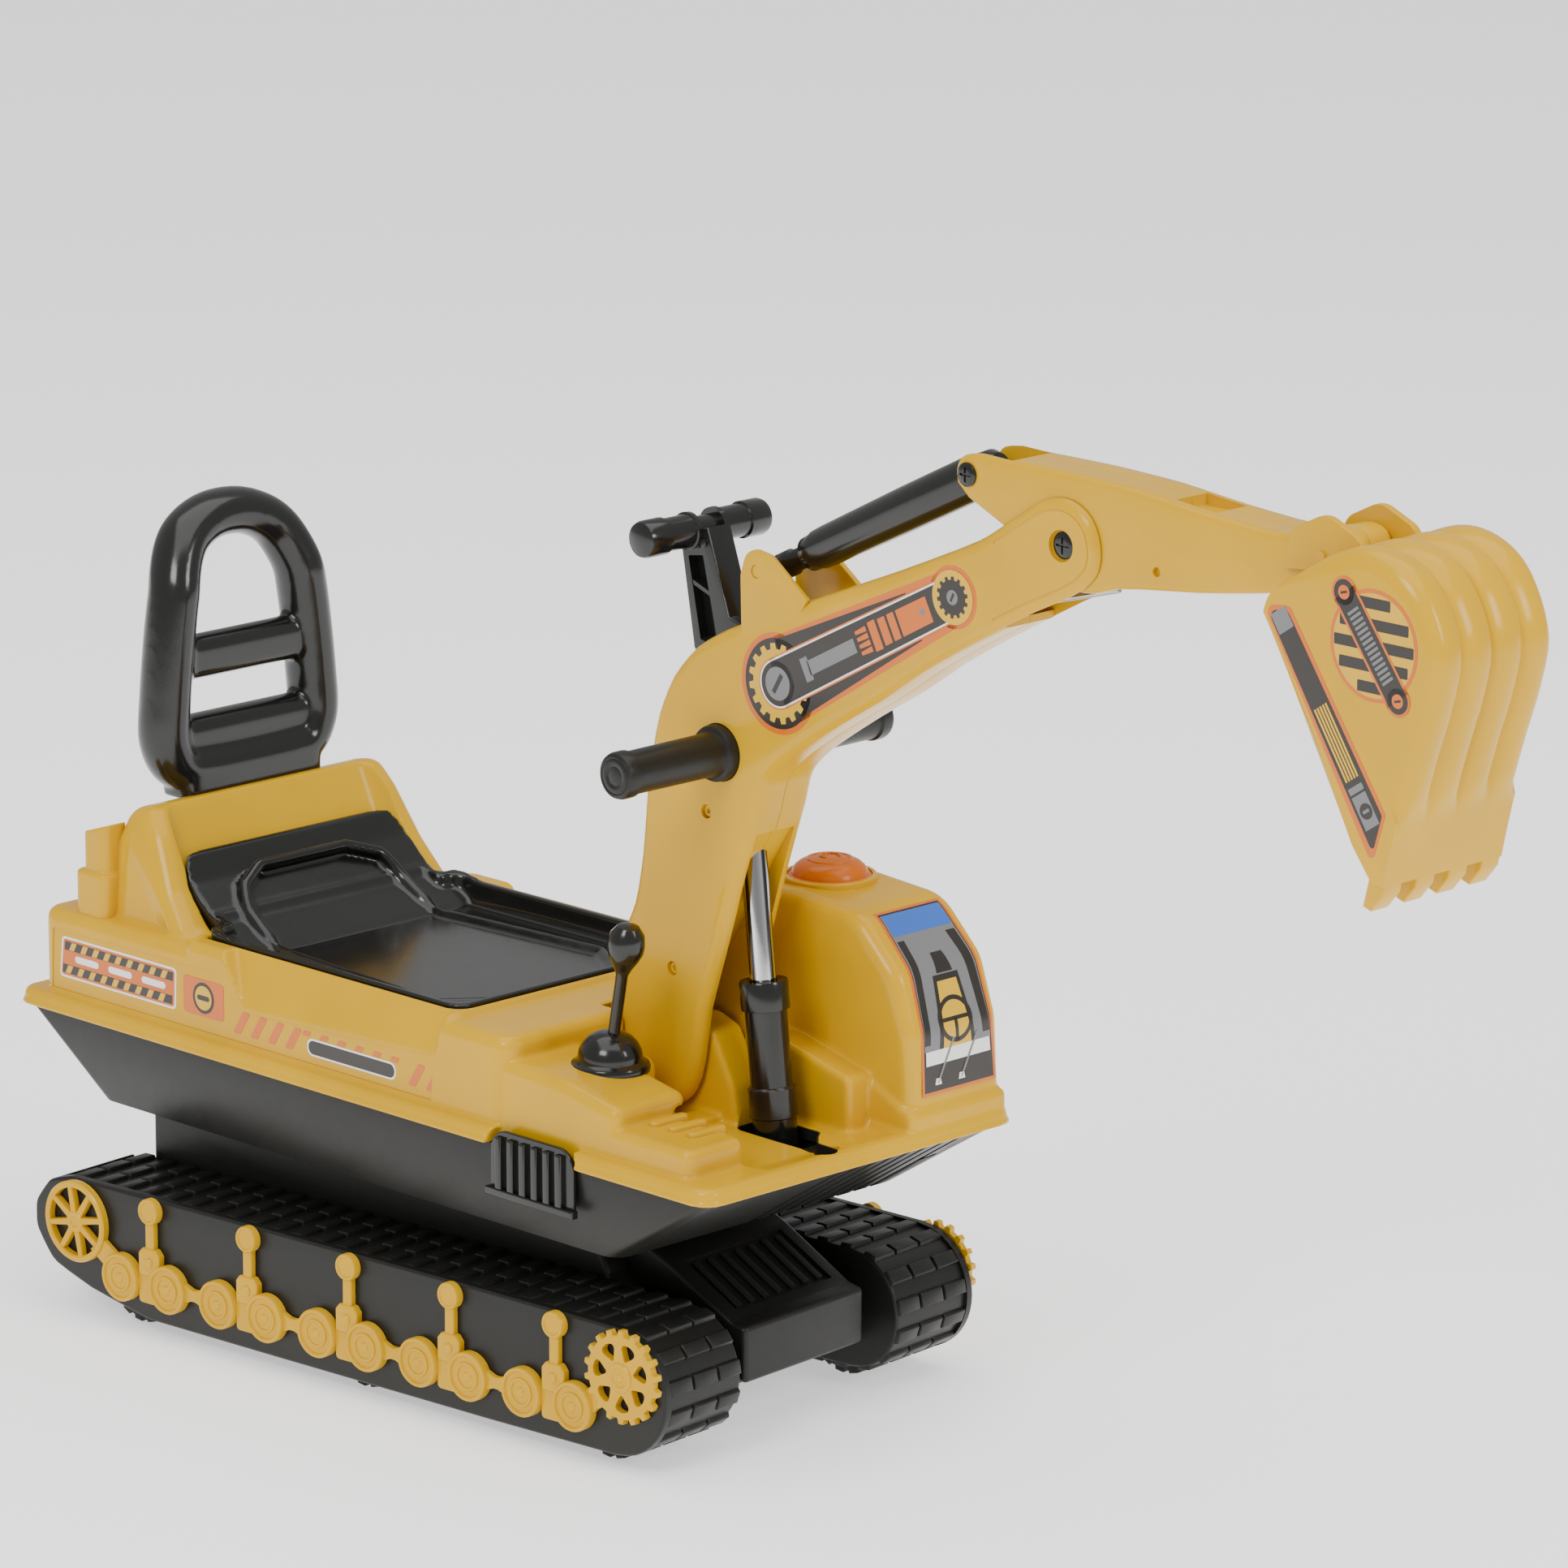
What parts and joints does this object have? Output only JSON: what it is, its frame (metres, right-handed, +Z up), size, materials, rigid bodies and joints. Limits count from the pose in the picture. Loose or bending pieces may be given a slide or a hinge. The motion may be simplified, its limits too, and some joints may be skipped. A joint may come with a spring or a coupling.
{
  "type": "ride-on digger",
  "caption": "Ride-on toy digger: tracked base on hidden wheels, slewing body with seat and backrest, hand-worked boom, arm and bucket, side levers and horn button.",
  "frame": {"origin": "on the floor under the middle of the whole toy at rest", "axes": "+X forward towards the bucket, +Y to the rider's left, +Z up"},
  "size_m": [1.1708, 0.3218, 0.6693],
  "materials": {
    "yellow_plastic": "glossy moulded",
    "black_plastic": "satin moulded",
    "orange_plastic": "glossy moulded",
    "steel": "bright plated"
  },
  "bodies": {
    "base": {"crawler_base": "black_plastic", "right_running_gear": "yellow_plastic", "left_running_gear": "yellow_plastic", "front_axle": "steel", "middle_axle": "steel", "rear_axle": "steel", "slew_bearing_ring": "black_plastic", "slew_pivot_bolt": "steel"},
    "upper_body": {"lower_tub": "black_plastic", "upper_shell": "yellow_plastic", "seat": "black_plastic", "backrest": "black_plastic", "exhaust_stack": "yellow_plastic", "sound_box": "black_plastic", "right_foot_vent": "black_plastic", "left_foot_vent": "black_plastic", "boom_pivot_pin": "steel", "boom_cylinder_base_pin": "steel"},
    "button": {"sound_button": "orange_plastic"},
    "right_lever": {"right_lever_dome": "black_plastic", "right_lever": "black_plastic"},
    "left_lever": {"left_lever_dome": "black_plastic", "left_lever": "black_plastic"},
    "boom": {"boom_right_half": "yellow_plastic", "boom_left_half": "yellow_plastic", "handle_bar": "steel", "right_hand_grip": "black_plastic", "left_hand_grip": "black_plastic", "boom_cylinder_top_pin": "steel", "arm_cylinder_pin": "steel", "t_lever_pin": "steel", "arm_pivot_screw": "black_plastic"},
    "boom_barrel": {"boom_cylinder_barrel": "black_plastic"},
    "boom_rod": {"boom_cylinder_rod": "steel"},
    "arm": {"arm_right_half": "yellow_plastic", "arm_left_half": "yellow_plastic", "arm_cylinder_screw": "black_plastic"},
    "arm_rod": {"arm_cylinder_rod": "steel"},
    "arm_tube": {"arm_cylinder_tube": "black_plastic"},
    "t_lever": {"t_lever": "black_plastic", "t_lever_right_grip": "black_plastic", "t_lever_left_grip": "black_plastic"},
    "pull_rod": {"bucket_pull_rod": "steel"},
    "bucket": {"bucket": "yellow_plastic", "bucket_pin": "steel"},
    "right_front_wheel": {"right_front_wheel": "black_plastic"},
    "right_middle_wheel": {"right_middle_wheel": "black_plastic"},
    "right_rear_wheel": {"right_rear_wheel": "black_plastic"},
    "left_front_wheel": {"left_front_wheel": "black_plastic"},
    "left_middle_wheel": {"left_middle_wheel": "black_plastic"},
    "left_rear_wheel": {"left_rear_wheel": "black_plastic"}
  },
  "joints": [
    {"name": "slew", "type": "hinge", "parent": "base", "child": "upper_body", "pos_m": [-0.2549, 0.00065, 0.136], "axis": [0, 0, 1], "continuous": true},
    {"name": "right_front_wheel_spin", "type": "hinge", "parent": "base", "child": "right_front_wheel", "pos_m": [-0.0339, -0.11185, 0.031], "axis": [0, 1, 0], "continuous": true},
    {"name": "right_middle_wheel_spin", "type": "hinge", "parent": "base", "child": "right_middle_wheel", "pos_m": [-0.2469, -0.11185, 0.031], "axis": [0, 1, 0], "continuous": true},
    {"name": "right_rear_wheel_spin", "type": "hinge", "parent": "base", "child": "right_rear_wheel", "pos_m": [-0.4509, -0.11185, 0.031], "axis": [0, 1, 0], "continuous": true},
    {"name": "left_front_wheel_spin", "type": "hinge", "parent": "base", "child": "left_front_wheel", "pos_m": [-0.0339, 0.11315, 0.031], "axis": [0, 1, 0], "continuous": true},
    {"name": "left_middle_wheel_spin", "type": "hinge", "parent": "base", "child": "left_middle_wheel", "pos_m": [-0.2469, 0.11315, 0.031], "axis": [0, 1, 0], "continuous": true},
    {"name": "left_rear_wheel_spin", "type": "hinge", "parent": "base", "child": "left_rear_wheel", "pos_m": [-0.4509, 0.11315, 0.031], "axis": [0, 1, 0], "continuous": true},
    {"name": "boom_lift", "type": "hinge", "parent": "upper_body", "child": "boom", "pos_m": [-0.08042, -0.01278, 0.24], "axis": [0.0767, 0.9971, 0], "range_deg": [-8, 20]},
    {"name": "boom_barrel_swing", "type": "hinge", "parent": "upper_body", "child": "boom_barrel", "pos_m": [0.00832, -0.0196, 0.165], "axis": [0.0767, 0.9971, 0], "range_deg": [-5.4, 13.3]},
    {"name": "boom_rod_stroke", "type": "slide", "parent": "boom_barrel", "child": "boom_rod", "axis": [-0.1127, 0.0087, 0.9936], "range_m": [-0.0306, 0.0124]},
    {"name": "arm_swing", "type": "hinge", "parent": "boom", "child": "arm", "pos_m": [0.26855, -0.03963, 0.619], "axis": [0.0767, 0.9971, 0], "range_deg": [-8, 24]},
    {"name": "arm_rod_swing", "type": "hinge", "parent": "boom", "child": "arm_rod", "pos_m": [0.01231, -0.01991, 0.562], "axis": [0.0767, 0.9971, 0], "range_deg": [-6, 2.2]},
    {"name": "arm_tube_stroke", "type": "slide", "parent": "arm_rod", "child": "arm_tube", "axis": [0.8928, -0.0687, 0.4452], "range_m": [-0.0106, 0.0312]},
    {"name": "t_lever_pull", "type": "hinge", "parent": "boom", "child": "t_lever", "pos_m": [-0.0196, -0.01746, 0.466], "axis": [0.0767, 0.9971, 0], "range_deg": [-21.8, 7.4]},
    {"name": "pull_rod_stroke", "type": "slide", "parent": "boom", "child": "pull_rod", "axis": [0.9612, -0.074, 0.2657], "range_m": [-0.0138, 0.0048]},
    {"name": "bucket_tilt", "type": "hinge", "parent": "arm", "child": "bucket", "pos_m": [0.47295, -0.05536, 0.645], "axis": [0.0767, 0.9971, 0], "range_deg": [-20, 20]},
    {"name": "right_lever_rock", "type": "hinge", "parent": "upper_body", "child": "right_lever", "pos_m": [-0.06945, -0.09185, 0.245], "axis": [0.0767, 0.9971, 0], "range_deg": [-15, 15]},
    {"name": "left_lever_rock", "type": "hinge", "parent": "upper_body", "child": "left_lever", "pos_m": [-0.09921, 0.06891, 0.245], "axis": [0.0767, 0.9971, 0], "range_deg": [-15, 15]},
    {"name": "button_press", "type": "slide", "parent": "upper_body", "child": "button", "axis": [0, 0, -1], "range_m": [0, 0.003], "stiffness_N_per_m": 300, "springref_m": -0.003}
  ],
  "couplings": [
    {"joint": "boom_barrel_swing", "follows": "boom_lift", "ratio": 0.653},
    {"joint": "boom_rod_stroke", "follows": "boom_lift", "m_per_rad": -0.08617},
    {"joint": "arm_rod_swing", "follows": "arm_swing", "ratio": -0.23},
    {"joint": "arm_tube_stroke", "follows": "arm_swing", "m_per_rad": 0.0726},
    {"joint": "t_lever_pull", "follows": "arm_swing", "ratio": -0.894},
    {"joint": "pull_rod_stroke", "follows": "arm_swing", "m_per_rad": -0.032}
  ]
}
